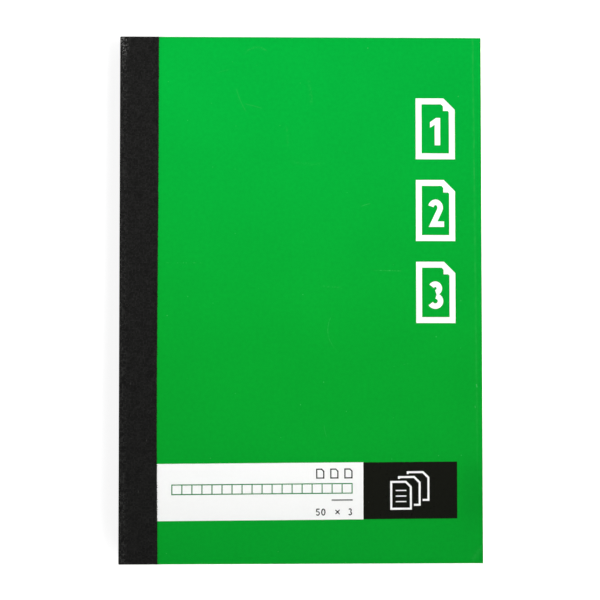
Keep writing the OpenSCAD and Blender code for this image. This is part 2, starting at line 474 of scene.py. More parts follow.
def new_material(name, **inputs):
    """New material with the even values of its shader."""
    material = bpy.data.materials.new(name)
    material.use_nodes = True
    return surface(material, **inputs)


def sheet_material(name, **inputs):
    """New material, and the place on its flat sheet in millimetres, which stays as the sheet bends."""
    material = new_material(name, **inputs)
    return material, source(material.node_tree, "ShaderNodeAttribute", "Vector", attribute_name=PLACE)


def node_material(name, **inputs):
    """New material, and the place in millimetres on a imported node, which never bends."""
    material = new_material(name, **inputs)
    place = source(material.node_tree, "ShaderNodeTexCoord", "Object")
    return material, place.stretch(1000.0, 1000.0, 1000.0)


def varnished_print(name, ink, worn, mottle, wear, scuffs=(), head=None):
    """Printed and varnished card: uneven ink, specks, scuffs, rubbed edges, a patch of painted shade and any
    painted highlight given with the scuffs.
    """
    material, place = sheet_material(name, specular_ior_level=0.26)
    x, y, _ = place.axes()
    cloud = place.noise(0.03, 3.0)
    tone = (cloud - 0.5) * (1.6 * mottle) + 1.0
    for fine, share in ((place.noise(0.7, 3.0), 2.4), (place.noise(5.0), 1.4)):
        tone += (fine - 0.5) * (share * mottle)
    # Painted shade: a soft darker patch on the margin beside the panel.
    thumb = place.vector("SUBTRACT", THUMB_PLACE).stretch(1.0, 0.5, 0.0)
    tone *= thumb.vector("LENGTH", (0.0, 0.0, 0.0), "Value").ramp(2.0, 9.5, 0.87, 1.0)
    # The green turns a little bluer towards the head.
    body = tone.shade(y.ramp(60.0, BOOK_TALL).mix(ink, head or ink))
    # The block's fore-edge has pressed a faint slanting line into the cover, which fades towards the tail.
    ridge = abs(x - (y * RIDGE_SLANT + RIDGE_AT_TAIL)).ramp(0.62, 0.08)
    spots = place.stretch(1.0, 0.35, 1.0).noise(0.8, 3.0).ramp(0.38, 0.64, 0.35, 1.0)
    ridge *= spots * y.ramp(26.0, 60.0)
    marks = (dust_specks(place, spacing=9.0, share=0.15, size=0.27) * 0.40).max(ridge * 0.085)
    for start, end, bow, width, gaps, strength in scuffs:
        span = (end[0] - start[0], end[1] - start[1], 0.0)
        scuff = scuff_line(place, start=(*start, 0.0), span=span, bow=bow, width=width, gaps=gaps)
        marks = marks.max(scuff * strength)
    marks = marks.max(edge_rub(place, reach=0.25) * 0.18)
    return surface(material, base_color=(marks * wear).mix(body, worn),
                   roughness=marks * 0.25 + (cloud * 0.06 + 0.13),
                   normal=(place.noise(1.3) * 0.5 - marks * 0.5).bump(0.000005))


def plain_card(name, tint, fibre, fleck, roughness):
    """Uncoated card or board with fibres, dark and light flecks and rubbed edges."""
    material, place = sheet_material(name, roughness=roughness, specular_ior_level=0.25)
    tone, height = paper_fibre(place, fibre=fibre)
    body = tone.ramp(0.25, 0.75, 0.86, 1.12).shade(tint)
    dark = dust_specks(place.stretch(1.0, 0.45, 1.0), spacing=2.6, share=0.34 * fleck, size=0.45)
    light = dust_specks(place.stretch(0.5, 1.1, 1.0), spacing=1.9, share=0.30 * fleck, size=0.35)
    rubbed = edge_rub(place, reach=0.6)
    marks = ((dark, 0.45, 0.0, 0.35), (light, 0.40, 0.4, 0.6), (rubbed, 0.35, 0.3, 0.6))
    for mask, strength, white, share in marks:
        body = (mask * strength).mix(body, [white + share * part for part in tint])
    return surface(material, base_color=body, normal=height.bump(0.00006))


def leaf_paper(name, tint, ink=None):
    """Thin writing paper, with the ruled form on it where an ink is given."""
    material, place = sheet_material(name, roughness=0.82, specular_ior_level=0.25)
    tone, height = paper_fibre(place, fibre=0.9)
    age = source(material.node_tree, "ShaderNodeAttribute", "Fac", attribute_name=TONE)
    body = (age * (-0.05 if ink else -0.18) + tone.ramp(0.25, 0.75, 0.96, 1.03)).shade(tint)
    if ink:
        line, field, slits = form_rules(place)
        body = (field * 0.14).mix(body, ink)
        body = (line * place.noise(3.0).ramp(0.2, 0.6, 0.70, 0.92)).mix(body, ink)
        # Painted shade: the perforation's slits are drawn dark, as the shade in the cuts.
        body = (slits * 0.45).mix(body, (0.05, 0.05, 0.05))
    return surface(material, base_color=body, normal=height.bump(0.000012))


def binding_cloth(colours, sizes, half_girth):
    """Black filled cloth in plain weave, its threads uneven with painted shade between them, and rubbed grey
    at the spine's edge and head.
    """
    material, place = sheet_material("binding_cloth", specular_ior_level=0.12)
    x, y, _ = place.axes()
    height, crossing = plain_weave(place, pitch=sizes.thread_pitch / MM)
    # Painted shade: the weave is darker where it lies low, between the threads.
    tone = (crossing * 0.8 + 0.5) * (height * 0.75 + 0.45) * (place.noise(0.25, 3.0) * 0.6 + 0.75)
    off_spine = abs(x - half_girth) - (TAPE_HIGH.z - TAPE_LOW.z) / MM / 2
    corner = abs(off_spine - 0.9).ramp(2.8, 0.4)
    to_head = BOOK_TALL - y
    to_end = y.min(to_head)
    ends = to_end.ramp(45.0, 0.0, 0.10, 0.20) + to_head.ramp(9.0, 2.0, 0.0, 0.80)
    worn = (corner * ends).max(to_end.ramp(0.9, 0.0, 0.0, 0.35))
    worn *= height.ramp(0.35, 0.80) * crossing.ramp(0.15, 0.75) * place.noise(0.6, 3.0).ramp(0.32, 0.60)
    body = worn.mix(tone.shade(colours.cloth), colours.cloth_worn)
    lint = dust_specks(place.stretch(1.0, 0.3, 1.0), spacing=3.2, share=0.10, size=0.22)
    return surface(material, base_color=(lint * 0.15).mix(body, colours.cloth_worn),
                   roughness=height * -0.18 + 0.78, normal=height.bump(0.00011))


def carbon_coat(name, tint, roughness, sheen):
    """Carbon sheet's waxy ink or its dull back, with faint creases from use."""
    material, place = sheet_material(name, specular_ior_level=sheen)
    cloud = place.noise(0.05, 4.0)
    tone, height = paper_fibre(place, fibre=0.7)
    creases = hair_scratches(place, spacing=60.0, width=0.006, cover=0.5)
    body = (cloud * 0.8 + tone.ramp(0.25, 0.75, 0.45, 0.75)).shade(tint)
    return surface(material, base_color=(creases * 0.3).mix(body, [3.0 * part for part in tint]),
                   roughness=cloud * 0.2 + (roughness - 0.1), normal=(height - creases).bump(0.00001))


def stitching_wire(tint):
    """Drawn galvanised wire with dull patches."""
    material, place = node_material("stitching_wire", metallic=1.0)
    drawn = place.stretch(3.0, 0.5, 3.0).noise(2.0, 3.0, dimensions="3D")
    return surface(material, base_color=drawn.ramp(0.3, 0.7, 0.7, 1.1).shade(tint),
                   roughness=drawn.ramp(0.3, 0.7, 0.48, 0.26), normal=drawn.bump(0.00002))


def dried_glue(tint):
    """Dried glue with small bubbles and a soft shine."""
    material, place = node_material("dried_glue", specular_ior_level=0.5)
    lumps = place.noise(0.6, 3.0, dimensions="3D")
    bubbles = place.node("ShaderNodeTexVoronoi", {"Vector": place, "Scale": 1.4}, "Distance")
    return surface(material, base_color=lumps.ramp(0.3, 0.7, 0.75, 1.15).shade(tint),
                   roughness=bubbles.ramp(0.1, 0.5, 0.55, 0.3), normal=(lumps + bubbles).bump(0.00008))


def places(start, *legs):
    """Places from a start on, each leg with its end and the number of even steps up to it."""
    found = [start]
    for end, steps in legs:
        begin = found[-1]
        found += [begin + (end - begin) * step / steps for step in range(1, steps + 1)]
    return found


def add_piece(name, shell, materials):
    """Turns a bmesh into an object with its materials."""
    mesh = bpy.data.meshes.new(name)
    shell.to_mesh(mesh)
    shell.free()
    for material in materials:
        mesh.materials.append(material)
    piece = bpy.data.objects.new(name, mesh)
    bpy.context.scene.collection.objects.link(piece)
    return piece


def settle(piece):
    """Puts the result of a piece's modifiers in a plain mesh and removes them."""
    piece.update_tag()
    graph = bpy.context.evaluated_depsgraph_get()
    mesh = bpy.data.meshes.new_from_object(piece.evaluated_get(graph))
    piece.modifiers.clear()
    rough = piece.data
    piece.data = mesh
    bpy.data.meshes.remove(rough)
    mesh.name = piece.name
    return piece


def grow(piece, build, **values):
    """Runs a geometry tree on a piece, its inputs set by identifier, and keeps the result as a plain mesh."""
    modifier = piece.modifiers.new(build.__name__, "NODES")
    modifier.node_group = node_group("GeometryNodeTree", build, ["geometry"])
    for item in modifier.node_group.interface.items_tree:
        if item.in_out == "INPUT" and item.name in values:
            modifier[item.identifier] = values[item.name]
    return settle(piece)


def finish_sheet(piece, across=None):
    """Keeps each point's place on the flat sheet, in millimetres, and shades the bends smoothly."""
    mesh = piece.data
    kept = mesh.attributes.new(PLACE, "FLOAT_VECTOR", "POINT")
    for point, spot in zip(mesh.vertices, kept.data):
        x = across[point.index] if across else (point.co.x - X_SPINE) / MM
        spot.vector = (x, (point.co.y - Y_TAIL) / MM, point.co.z / MM)
    mesh.shade_smooth()
    mesh.set_sharp_from_angle(angle=SHARP)


def slab(grid, slots=(0, 1, 2), flip=False):
    """Closed sheet on rows of upper and under points, with slots for upper faces, under faces and edges."""
    shell = bmesh.new()
    rows = [[[shell.verts.new(point) for point in pair] for pair in row] for row in grid]
    last = len(grid[0]) - 1

    def face(slot, turned, *points):
        shell.faces.new(points[::-1] if turned != flip else points).material_index = slots[slot]

    for low, high in zip(rows, rows[1:]):
        for n in range(last):
            face(0, False, low[n][0], low[n + 1][0], high[n + 1][0], high[n][0])
            face(1, False, low[n][1], high[n][1], high[n + 1][1], low[n + 1][1])
        for n, turned in ((0, False), (last, True)):
            face(2, turned, low[n][0], high[n][0], high[n][1], low[n][1])
    for row, turned in ((rows[0], False), (rows[-1], True)):
        for n in range(last):
            face(2, turned, row[n][0], row[n][1], row[n + 1][1], row[n + 1][0])
    return shell


def plate(xs, ys, low, high):
    """Closed flat sheet on a grid of columns and rows."""
    return slab([[((x, y, high), (x, y, low)) for x in xs] for y in ys])


def hand_over(piece, slot, nodes=(), body=None, bend=None, across=None):
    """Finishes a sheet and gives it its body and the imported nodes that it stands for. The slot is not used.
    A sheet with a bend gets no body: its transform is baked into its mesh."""
    finish_sheet(piece, across)
    if bend is None:
        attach(piece, body)
    else:
        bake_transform(piece)
    if nodes:
        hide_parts(*nodes)


def cover_sheet(name, side, materials, rounding, crease):
    """One cover in one sheet, with close columns in its crease and close rows at the tail's outer corner."""
    low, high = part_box(side + "_panel")
    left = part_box(side + "_margin")[0].x
    xs = places(left, (X_FOLD, 2), (X_FOLD + crease, 16), (X_FORE - 8 * MM, 8), (X_FORE - RIM, 6),
                (X_FORE, 1))
    ys = places(Y_TAIL, (Y_TAIL + RIM, 1), (Y_TAIL + 10 * MM, 6), (Y_HEAD - RIM, 12), (Y_HEAD, 1))
    cover = add_piece(name, plate(xs, ys, low.z, high.z), materials)
    bevel = cover.modifiers.new("rounded edges", "BEVEL")
    bevel.width = rounding
    bevel.segments = 2
    bevel.limit_method = "ANGLE"
    bevel.angle_limit = math.radians(40)
    return settle(cover)


class BOOK_OT_front_cover(bpy.types.Operator):
    """Front cover of printed green card, in one sheet from the spine to the fore-edge"""
    bl_idname = "invoice_book.front_cover"
    bl_label = "Front cover"

    def execute(self, context):
        sizes = context.scene.book_sizes
        colours = context.scene.book_colours
        materials = [varnished_print("green_varnish", colours.green, colours.pale, mottle=0.060, wear=1.0,
                                     scuffs=COVER_SCUFFS, head=colours.green_head),
                     plain_card("card_inside", colours.card, fibre=0.8, fleck=0.25, roughness=0.8),
                     plain_card("card_core", colours.card, fibre=0.4, fleck=0.6, roughness=0.9)]
        cover = cover_sheet("front_cover_card", "front_cover", materials, sizes.card_round, sizes.crease)
        bent_wide, bent_tall = 4.5 * MM, 7 * MM
        for point in cover.data.vertices:
            share = 1 - (X_FORE - point.co.x) / bent_wide - (point.co.y - Y_TAIL) / bent_tall
            if share > 0:
                point.co.z += sizes.corner_lift * share ** 1.5
        hand_over(cover, "green_card", ("front_cover_panel", "front_cover_margin"), "front_cover",
                  X_FOLD + sizes.crease)
        return {"FINISHED"}


def rectangle(left, low, right, high):
    """One four-sided face."""
    return [(left, low), (right, low), (right, high), (left, high)]


def ribbon(points, width, closed=False):
    """Four-sided faces of one pen stroke along points, with mitred turns."""
    points = [Vector(point) for point in points]
    count = len(points)
    rails = []
    for number, point in enumerate(points):
        ways = []
        if closed or number > 0:
            ways.append((point - points[number - 1]).normalized())
        if closed or number < count - 1:
            ways.append((points[(number + 1) % count] - point).normalized())
        sides = [Vector((-way.y, way.x)) for way in ways]
        out = (sides[0] + sides[-1]) / (1 + sides[0].dot(sides[-1])) * width / 2
        rails.append((point - out, point + out))
    faces = []
    for number in range(count if closed else count - 1):
        near, far = rails[number], rails[(number + 1) % count]
        faces.append([near[0], far[0], far[1], near[1]])
    return faces


def arc(centre, radius, start, end, steps=16):
    """Points of an arc from start to end in degrees."""
    turns = [math.radians(angle) for angle in places(start, (end, steps))]
    (x, y), (wide, tall) = centre, radius
    return [(x + wide * math.cos(turn), y + tall * math.sin(turn)) for turn in turns]


def digit(number, pen):
    """Strokes of one plain digit, one unit high, each a list of faces."""
    half = pen / 2
    if number == 0:
        return [ribbon(arc((0.31, 0.5), (0.31 - half, 0.5 - half), 0, 345, 23), pen, True)]
    if number == 1:
        return [[[(0.17, 0.0), (0.17 + pen, 0.0), (0.17 + pen, 1.0), (0.22, 1.0), (0.0, 0.84), (0.0, 0.64),
                  (0.17, 0.75)]]]
    if number == 2:
        bow = arc((0.29, 0.70), (0.27 - half, 0.30 - half), 165, -28)
        return [ribbon(bow + [(0.20, half), (0.60, half)], pen)]
    if number == 3:
        upper = arc((0.27, 0.745), (0.25 - half, 0.255 - half), 150, -80)
        lower = arc((0.27, 0.285), (0.29 - half, 0.285 - half), 80, -150)
        return [ribbon(upper, pen), ribbon(lower, pen)]
    if number == 5:
        bow = arc((0.27, 0.32), (0.30 - half, 0.32 - half), 110, -150)
        return [ribbon([(0.52, 1 - half), (0.13, 1 - half), (0.09, 0.50)], pen), ribbon(bow, pen)]
    raise ValueError(number)


def page_outline(wide, tall, cut, stroke):
    """Outline of one sheet with a cut corner."""
    half = stroke / 2
    return ribbon([(half, half), (wide - half, half), (wide - half, tall - cut), (wide - cut, tall - half),
                   (half, tall - half)], stroke, True)


def moved(faces, shift, scale=1.0, turn=0.0):
    """Faces scaled, turned and moved on the cover's plane, in millimetres."""
    spin = Matrix.Rotation(turn, 2)
    return [[spin @ (Vector(point) * scale) + Vector(shift) for point in face] for face in faces]


class BOOK_OT_cover_print(bpy.types.Operator):
    """Print on the front cover: white label, dark panel and plain marks of sheets and numbers"""
    bl_idname = "invoice_book.cover_print"
    bl_label = "Cover print"

    WHITE, BLACK, GREEN, GREY = range(4)

    def put(self, faces, ink, layer=2, rise=LABEL_RISE):
        """Notes one mark, which rises with the label unless said otherwise."""
        raised = [[(x, y + rise * (x - LABEL_PIVOT)) for x, y in face] for face in faces]
        self.marks.append((raised, ink, layer))

    def title_marks(self, sizes):
        """Three numbered sheets in one column, the first at the head."""
        wide = sizes.title_wide / MM
        tall = 1.56 * wide
        left = sizes.title_left / MM
        size = 0.70 * wide
        gap = (sizes.title_run / MM - 3 * tall) / 2
        for number in (1, 2, 3):
            foot = sizes.title_low / MM + (3 - number) * (tall + gap)
            lead = (wide - (0.38 if number == 1 else 0.58) * size) / 2
            shapes = [moved(page_outline(wide, tall, cut=0.32 * wide, stroke=0.15 * wide), (left, foot)),
                      moved([[(0.70, 1.24), (0.83, 1.24), (0.70, 1.37)]], (left, foot), wide)]
            for stroke in digit(number, 0.20):
                shapes.append(moved(stroke, (left + lead, foot + 0.36 * wide), size))
            for shape in shapes:
                self.put(shape, self.WHITE, 1, 0.0)

    def comb_field(self, left, right, low, high, cells, stroke):
        """Row of open boxes for writing a number in."""
        pitch = (right - left - stroke) / cells
        faces = []
        for cell in range(cells + 1):
            x = left + cell * pitch
            faces.append(rectangle(x, low, x + stroke, high))
            if cell < cells:
                for y in (low, high - stroke):
                    faces.append(rectangle(x + stroke, y, x + pitch, y + stroke))
        return faces

    def label_marks(self):
        """Three small sheets, a row of boxes, a short rule and the count of sets and copies."""
        for number in range(3):
            spot = (LABEL_LINE_END - 3.3 - 5.6 * number, 33.6)
            self.put(moved(page_outline(wide=3.3, tall=4.0, cut=1.1, stroke=0.5), spot), self.BLACK)
        boxes = self.comb_field(left=20.9, right=LABEL_LINE_END, low=27.6, high=31.8, cells=18, stroke=0.42)
        self.put(boxes, self.GREEN)
        self.put([rectangle(84.4, 24.8, LABEL_LINE_END, 25.4)], self.GREY)
        start = LABEL_LINE_END - 14.6
        for number, step in ((5, 0.0), (0, 2.1), (3, 12.8)):
            for stroke in digit(number, 0.16):
                self.put(moved(stroke, (start + step, 19.0), 2.8), self.BLACK)
        for turn in (math.pi / 4, 3 * math.pi / 4):
            cross = ribbon([(-1.15, 0.0), (1.15, 0.0)], 0.42)
            self.put(moved(cross, (start + 8.6, 20.4), turn=turn), self.BLACK)

    def panel_marks(self, origin):
        """Three sheets lying one behind the other, drawn in line on the dark panel."""
        shapes = [page_outline(wide=8.6, tall=11.4, cut=2.4, stroke=0.8)]
        for row in (3.2, 5.4, 7.6):
            shapes.append(ribbon([(2.2, row), (6.4, row)], 0.45))
        for step in (1, 2):
            dx, dy = 3.5 * step, 1.9 * step
            shapes.append(ribbon([(dx, 10.3 + dy), (dx, 11.0 + dy), (dx + 6.0, 11.0 + dy),
                                  (dx + 8.2, 8.8 + dy), (dx + 8.2, dy), (dx + 5.9, dy)], 0.8))
        for shape in shapes:
            self.put(moved(shape, origin), self.WHITE)

    def execute(self, context):
        sizes = context.scene.book_sizes
        colours = context.scene.book_colours
        materials = [
            varnished_print("label_white", colours.label, (0.70, 0.72, 0.69), mottle=0.012, wear=0.35),
            varnished_print("print_black", colours.black, (0.07, 0.07, 0.07), mottle=0.10, wear=0.8),
            varnished_print("label_green", colours.label_green, colours.label, mottle=0.05, wear=0.3),
            varnished_print("label_grey", colours.label_grey, colours.label, mottle=0.05, wear=0.3),
        ]
        low, high = sizes.label_low / MM, sizes.label_high / MM
        middle, right = sizes.panel_left / MM, sizes.panel_right / MM
        self.marks = []
        self.put([rectangle(LABEL_LEFT, low, middle, high)], self.WHITE, 1)
        self.put([rectangle(middle, low, right, high)], self.BLACK, 1)
        self.title_marks(sizes)
        self.label_marks()
        self.panel_marks(((middle + right) / 2 - 8.0, (low + high) / 2 - 7.6))
        shell = bmesh.new()
        for number, (faces, ink, layer) in enumerate(self.marks):
            # Marks that touch lie a hair apart.
            z = CARD_HIGH.z + sizes.ink_rise * (layer + 0.05 * (number % 7))
            corners = {}
            for face in faces:
                ring = []
                for x, y in face:
                    key = (round(x, 4), round(y, 4))
                    if key not in corners:
                        corners[key] = shell.verts.new((X_SPINE + x * MM, Y_TAIL + y * MM, z))
                    ring.append(corners[key])
                shell.faces.new(ring).material_index = ink
        printed = add_piece("cover_print", shell, materials)
        film = printed.modifiers.new("ink film", "SOLIDIFY")
        film.thickness = 3 * sizes.ink_rise
        film.offset = -1.0
        hand_over(settle(printed), "green_card", body="front_cover")
        return {"FINISHED"}


def tape_stations(sizes, front):
    """Outer and inner points of half the tape's section, from mid-spine round to its edge on a cover."""
    middle = (TAPE_LOW.z + TAPE_HIGH.z) / 2
    if front:
        up, outer, inner = 1.0, TAPE_HIGH.z, CARD_HIGH.z
        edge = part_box("front_tape_edge")[1].x
    else:
        up, outer, inner = -1.0, TAPE_LOW.z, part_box("back_cover_panel")[0].z
        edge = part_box("back_tape_edge")[1].x
    big = sizes.spine_round
    small = 0.6 * big
    stations = []
    for z in places(middle, (outer - up * (big + RIM), 5), (outer - up * big, 1)):
        stations.append(((X_SPINE, z), (X_GLUE, z)))
    for turn in places(0.0, (math.pi / 2, 6))[1:]:
        wide, rise = 1 - math.cos(turn), math.sin(turn)
        stations.append(((X_SPINE + big * wide, outer - up * big * (1 - rise)),
                         (X_GLUE + small * wide, inner - up * small * (1 - rise))))
    for x in places(X_SPINE + big + RIM, (X_FOLD, 6), (X_FOLD + sizes.crease, 16), (edge, 3)):
        stations.append(((x, outer), (x, inner)))
    return stations


def girths(stations):
    """Distance of each station from mid-spine round the tape's outer face, in millimetres."""
    found = [0.0]
    for near, far in zip(stations, stations[1:]):
        found.append(found[-1] + math.dist(near[0], far[0]) / MM)
    return found


def tape_inset(sizes, y):
    """How far the tape's cut edge lies back from its packed place, at a height y."""
    off = (y - Y_TAIL) / MM - BOW_HEIGHT
    reach = BOW_TO_HEAD if off > 0 else BOW_TO_TAIL
    return sizes.tape_bow * math.exp(-(off / reach) ** 2) - sizes.tape_out


def tape_half(name, sizes, stations, front, cloth, rng):
    """One half of the tape as a closed sheet, with a slightly ragged cut edge."""
    rows = round((Y_HEAD - Y_TAIL) / (2 * sizes.thread_pitch))
    grid = []
    for y in places(Y_TAIL, (Y_HEAD, rows)):
        back = tape_inset(sizes, y) + rng.uniform(0.0, 0.09) * MM
        row = [[(x, y, z) for x, z in station] for station in stations]
        row[-1] = [(x - back, y, z) for x, z in stations[-1]]
        grid.append(row)
    return add_piece(name, slab(grid, (0, 0, 0), not front), [cloth])


def random_vector(low, high, seed):
    """Random vector for each point, from one seed."""
    return seed.node("FunctionNodeRandomValue", {0: low, 1: high, "Seed": seed}, data_type="FLOAT_VECTOR")


def set_material(geometry, material, **selection):
    """Geometry with a material on all of its faces, or on the selected ones."""
    return geometry.node("GeometryNodeSetMaterial", {"Geometry": geometry, "Material": material, **selection})


def realize(instances):
    """Real faces of instances."""
    return instances.node("GeometryNodeRealizeInstances", {"Geometry": instances})


def paper_faces(geometry, paper, form):
    """Plain paper all over and the ruled form on faces that look up."""
    up = source(geometry.tree, "GeometryNodeInputNormal").axes()[2]
    return set_material(set_material(geometry, paper), form, Selection=up.calc("GREATER_THAN", 0.5))


def leaf_stack(geometry, leaves, rise, slip, shade, seed, paper, form):
    """Leaves laid one above the other at an even rise, each a little out of line."""
    line = rise.node("GeometryNodeMeshLine", {"Count": leaves, "Offset": combine(0.0, 0.0, rise)})
    stack = line.node("GeometryNodeInstanceOnPoints", {"Points": line, "Instance": geometry})
    back = slip * -1.0
    shift = random_vector(combine(back, back, 0.0), combine(0.0, slip, 0.0), seed)
    inputs = {"Instances": stack, "Translation": shift, "Local Space": False}
    stack = stack.node("GeometryNodeTranslateInstances", inputs)
    inputs = {2: shade, 3: shade + 0.6, "Seed": seed}
    tone = seed.node("FunctionNodeRandomValue", inputs, 1, data_type="FLOAT")
    inputs = {"Geometry": stack, "Name": TONE, "Value": tone}
    stack = stack.node("GeometryNodeStoreNamedAttribute", inputs, domain="INSTANCE", data_type="FLOAT")
    return [paper_faces(realize(stack), paper, form)]


def perforated_sheet(geometry, ties, pitch, first, tie, paper, form):
    """A sheet with a row of paper ties along its perforation."""
    inputs = {"Count": ties, "Start Location": first, "Offset": combine(0.0, pitch, 0.0)}
    line = pitch.node("GeometryNodeMeshLine", inputs)
    cube = tie.node("GeometryNodeMeshCube", {"Size": tie})
    row = line.node("GeometryNodeInstanceOnPoints", {"Points": line, "Instance": cube})
    both = add_node(geometry.tree, "GeometryNodeJoinGeometry")
    for part in (row, geometry):
        feed(both.inputs[0], part)
    return [paper_faces(realize(Flow(both.outputs[0])), paper, form)]


def cut_threads(geometry, share, thread, seed, cloth):
    """Short thread ends that stick out along the tape's cut edge."""
    inputs = {"Probability": share, "Seed": seed}
    chosen = seed.node("FunctionNodeRandomValue", inputs, 3, data_type="BOOLEAN")
    cube = thread.node("GeometryNodeMeshCube", {"Size": thread})
    turn = random_vector((0.0, 0.0, -0.5), (0.0, 0.0, 0.5), seed)
    size = random_vector((0.45, 0.7, 0.6), (1.0, 1.1, 1.0), seed)
    inputs = {"Points": geometry, "Selection": chosen, "Instance": cube, "Rotation": turn, "Scale": size}
    return [set_material(realize(geometry.node("GeometryNodeInstanceOnPoints", inputs)), cloth)]


class BOOK_OT_spine_tape(bpy.types.Operator):
    """Black cloth tape round the spine, one half for each cover, with its cut thread ends"""
    bl_idname = "invoice_book.spine_tape"
    bl_label = "Spine tape"

    def execute(self, context):
        sizes = context.scene.book_sizes
        colours = context.scene.book_colours
        seed = context.scene.book_stage.seed
        rng = random.Random(seed)
        half_girth = girths(tape_stations(sizes, True))[-1]
        cloth = binding_cloth(colours, sizes, half_girth)
        halves = (("tape_front_half", True, ("spine_tape", "front_tape_edge"), "front_cover"),
                  ("tape_back_half", False, ("back_tape_edge",), "back_cover"))
        for name, front, nodes, body in halves:
            stations = tape_stations(sizes, front)
            tape = tape_half(name, sizes, stations, front, cloth, rng)
            across = []
            for girth in girths(stations):
                across += 2 * [half_girth + (girth if front else -girth)]
            rows = len(tape.data.vertices) // len(across)
            hand_over(tape, "cloth_tape", nodes, body, X_FOLD + sizes.crease, across * rows)
            (edge, outer), (_, inner) = stations[-1]
            path = bmesh.new()
            for y in places(Y_TAIL + THREAD_GAP, (Y_HEAD - THREAD_GAP, THREAD_STEPS)):
                path.verts.new((edge - tape_inset(sizes, y) - THREAD_INSET, y, (outer + inner) / 2))
            ends = grow(add_piece(name.replace("half", "thread_ends"), path, []), cut_threads, share=0.55,
                        thread=(0.70 * MM, 0.22 * MM, 0.12 * MM), seed=seed, cloth=cloth)
            hand_over(ends, "cloth_tape", body=body)
        return {"FINISHED"}


class BOOK_OT_back_cover(bpy.types.Operator):
    """Back cover of stiff grey board, in one sheet from the spine to the fore-edge"""
    bl_idname = "invoice_book.back_cover"
    bl_label = "Back cover"

    def execute(self, context):
        sizes = context.scene.book_sizes
        colours = context.scene.book_colours
        face = plain_card("grey_board", colours.board, fibre=1.3, fleck=1.0, roughness=0.85)
        dim = [0.85 * part for part in colours.board]
        core = plain_card("board_core", dim, fibre=0.5, fleck=1.0, roughness=0.95)
        cover = cover_sheet("back_cover_board", "back_cover", [face, face, core], sizes.board_round,
                            sizes.crease)
        hand_over(cover, "back_board", ("back_cover_panel", "back_cover_margin"), "back_cover",
                  X_FOLD + sizes.crease)
        return {"FINISHED"}


class BOOK_OT_binding(bpy.types.Operator):
    """Wire stitches and spine glue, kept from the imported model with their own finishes"""
    bl_idname = "invoice_book.binding"
    bl_label = "Binding"

    def execute(self, context):
        colours = context.scene.book_colours
        finishes = {"wire_stitches": stitching_wire(colours.wire), "spine_glue": dried_glue(colours.glue)}
        for name, material in finishes.items():
            node = frame["nodes"][name]
            node.data.materials.clear()
            node.data.materials.append(material)
        return {"FINISHED"}


def copy_papers(colours, copy):
    """Plain and ruled paper of one copy, made once."""
    tint = getattr(colours, copy)
    plain = bpy.data.materials.get(copy + "_paper") or leaf_paper(copy + "_paper", tint)
    form = bpy.data.materials.get(copy + "_form") or leaf_paper(copy + "_form", tint, colours.form_ink)
    return plain, form


class BOOK_OT_first_set(bpy.types.Operator):
    """First set of three leaves; the original and the duplicate tear off along their perforations"""
    bl_idname = "invoice_book.first_set"
    bl_label = "First set"

    def execute(self, context):
        sizes = context.scene.book_sizes
        colours = context.scene.book_colours
        ys = places(Y_TAIL, (Y_HEAD, 6))
        ties = int((Y_HEAD - Y_TAIL) / sizes.tie_pitch)
        first_y = Y_TAIL + (Y_HEAD - Y_TAIL - (ties - 1) * sizes.tie_pitch) / 2
        inset = 0.04 * MM
        for copy in ("original", "duplicate"):
            plain, form = copy_papers(colours, copy)
            low, high = (corner.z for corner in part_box(copy + "_01_form"))
            tie = (X_FORM_START - X_STRIP_END, sizes.tie_length, 0.9 * (high - low))
            strip_xs = places(X_STUB, (X_FOLD, 1), (X_STRIP_END, 12))
            strip_nodes = [copy + "_01_strip"] + (["stubs_01"] if copy == "original" else [])
            form_xs = places(X_FORM_START, (X_FORE, 8))
            form_nodes = [copy + "_01_form"]
            parts = (
                ("_01_bound_strip", strip_xs, X_STRIP_END - inset, plain, strip_nodes, "_01", X_STRIP_END),
                ("_01_tear_sheet", form_xs, X_FORM_START + inset, form, form_nodes, "_01_sheet", None),
            )
            for name, xs, tie_x, top, nodes, body, bend in parts:
                sheet = add_piece(copy + name, plate(xs, ys, low, high), [plain])
                grow(sheet, perforated_sheet, ties=ties, pitch=sizes.tie_pitch, tie=tie, paper=plain,
                     form=top, first=(tie_x, first_y, (low + high) / 2))
                hand_over(sheet, PAPER_SLOTS[copy], nodes, copy + body, bend)
        plain, form = copy_papers(colours, "triplicate")
        low, high = (corner.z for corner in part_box("triplicate_01"))
        shell = plate(places(X_STUB, *LEAF_LEGS), ys, low, high)
        leaf = add_piece("triplicate_01_leaf", shell, [form, plain, plain])
        hand_over(leaf, PAPER_SLOTS["triplicate"], ["triplicate_01"], "triplicate_01", X_PERF)
        return {"FINISHED"}


class BOOK_OT_carbon_sheets(bpy.types.Operator):
    """Two loose carbon sheets, dull on top and waxy below"""
    bl_idname = "invoice_book.carbon_sheets"
    bl_label = "Carbon sheets"

    def execute(self, context):
        colours = context.scene.book_colours
        pale = [1.6 * part for part in colours.carbon]
        back = carbon_coat("carbon_back", pale, roughness=0.62, sheen=0.3)
        wax = carbon_coat("carbon_wax", colours.carbon, roughness=0.36, sheen=0.5)
        for name in ("carbon_upper", "carbon_lower"):
            low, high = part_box(name)
            shell = plate(places(low.x, (high.x, 6)), places(low.y, (high.y, 8)), low.z, high.z)
            sheet = add_piece(name + "_sheet", shell, [back, wax, back])
            hand_over(sheet, "carbon_paper", [name], name)
        return {"FINISHED"}


